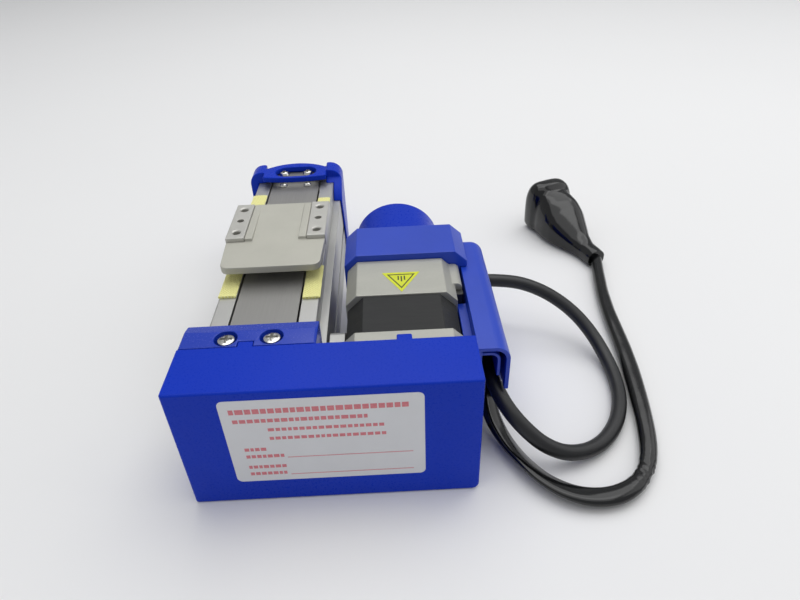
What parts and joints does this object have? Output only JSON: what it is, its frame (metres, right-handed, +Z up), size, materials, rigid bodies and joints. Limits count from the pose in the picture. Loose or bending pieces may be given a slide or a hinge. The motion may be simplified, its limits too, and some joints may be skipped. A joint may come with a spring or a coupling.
{
  "type": "linear actuator",
  "caption": "Compact ball-screw slider with a folded-back stepper motor, blue end covers, a threaded slider table and a cabled connector.",
  "frame": {"origin": "centre of the base plate's bottom face, under the screw axis", "axes": "+X towards the motor, +Y along the slider's travel away from the belt cover, +Z up out of the slider table"},
  "size_m": [0.186, 0.2022, 0.052],
  "materials": {
    "anodised_aluminium": "satin",
    "bearing_steel": "ground",
    "screw_steel": "bright zinc",
    "black_rubber": "matte",
    "stainless_sheet": "brushed",
    "grey_plate": "satin",
    "blue_paint": "satin",
    "label_paper": "matte",
    "pulley_aluminium": "machined",
    "belt_rubber": "matte",
    "beige_plate": "satin",
    "pad_steel": "ground",
    "cast_motor_cap": "cast and machined",
    "lamination": "satin black",
    "black_plastic": "matte",
    "rotor_steel": "ground",
    "encoder_disc": "gloss",
    "circuit_board": "solder mask",
    "blue_plastic": "satin",
    "white_plastic": "matte",
    "yellow_sticker": "satin",
    "yellow_foam": "embossed",
    "cable_jacket": "satin",
    "black_sleeve": "gloss film"
  },
  "bodies": {
    "frame": {"base_plate": "anodised_aluminium", "side_wall_left": "anodised_aluminium", "side_wall_right": "anodised_aluminium", "guide_rail": "bearing_steel", "rail_screws": "screw_steel", "bearing_block": "anodised_aluminium", "support_block": "anodised_aluminium", "bearing_outer_rings": "bearing_steel", "bearing_balls": "bearing_steel", "bumpers": "black_rubber", "screw_cover": "stainless_sheet", "cover_clamp": "grey_plate", "clamp_screws": "screw_steel", "near_cover": "blue_paint", "near_cover_screws": "screw_steel", "end_cap": "blue_paint", "end_cap_screws": "screw_steel", "motor_bracket": "anodised_aluminium", "bracket_screws": "screw_steel", "motor_screws": "screw_steel", "belt_cover": "blue_paint", "belt_cover_screws": "screw_steel", "front_label": "label_paper", "timing_belt": "belt_rubber", "motor_front_cap": "cast_motor_cap", "motor_stack": "lamination", "motor_rear_cap": "cast_motor_cap", "motor_plug": "black_plastic", "motor_bearings": "bearing_steel", "encoder_board": "circuit_board", "rear_cover": "blue_paint", "encoder_cap": "blue_paint", "cable_duct": "blue_plastic", "duct_liner": "blue_plastic", "junction_block": "white_plastic", "cable_grommet": "black_rubber", "caution_mark": "yellow_sticker", "packing_strips_front": "yellow_foam", "packing_strips_rear": "yellow_foam", "motor_cable": "cable_jacket", "connector_lead": "black_sleeve", "connector_boot": "black_sleeve", "connector_housing": "black_plastic"},
    "slider": {"guide_carriage": "bearing_steel", "slider_block": "anodised_aluminium", "ball_nut": "bearing_steel", "slider_table": "anodised_aluminium", "slider_cover": "beige_plate", "mount_pad_left": "pad_steel", "mount_pad_right": "pad_steel"},
    "screw": {"ball_screw": "bearing_steel", "bearing_inner_rings": "bearing_steel", "bearing_nut": "bearing_steel", "screw_pulley": "pulley_aluminium"},
    "rotor": {"motor_shaft": "bearing_steel", "motor_rotor": "rotor_steel", "motor_pulley": "pulley_aluminium", "encoder_disc": "encoder_disc"}
  },
  "joints": [
    {"name": "slider_travel", "type": "slide", "parent": "frame", "child": "slider", "axis": [0, 1, 0], "range_m": [-0.025, 0.025]},
    {"name": "screw_turn", "type": "hinge", "parent": "frame", "child": "screw", "pos_m": [0, 0, 0.0284], "axis": [0, 1, 0], "range_deg": [-755, 755]},
    {"name": "motor_turn", "type": "hinge", "parent": "frame", "child": "rotor", "pos_m": [0.0524, 0, 0.0284], "axis": [0, 1, 0], "range_deg": [-755, 755]}
  ],
  "couplings": [
    {"joint": "screw_turn", "follows": "slider_travel", "rad_per_m": -523.6},
    {"joint": "motor_turn", "follows": "slider_travel", "rad_per_m": -523.6}
  ]
}
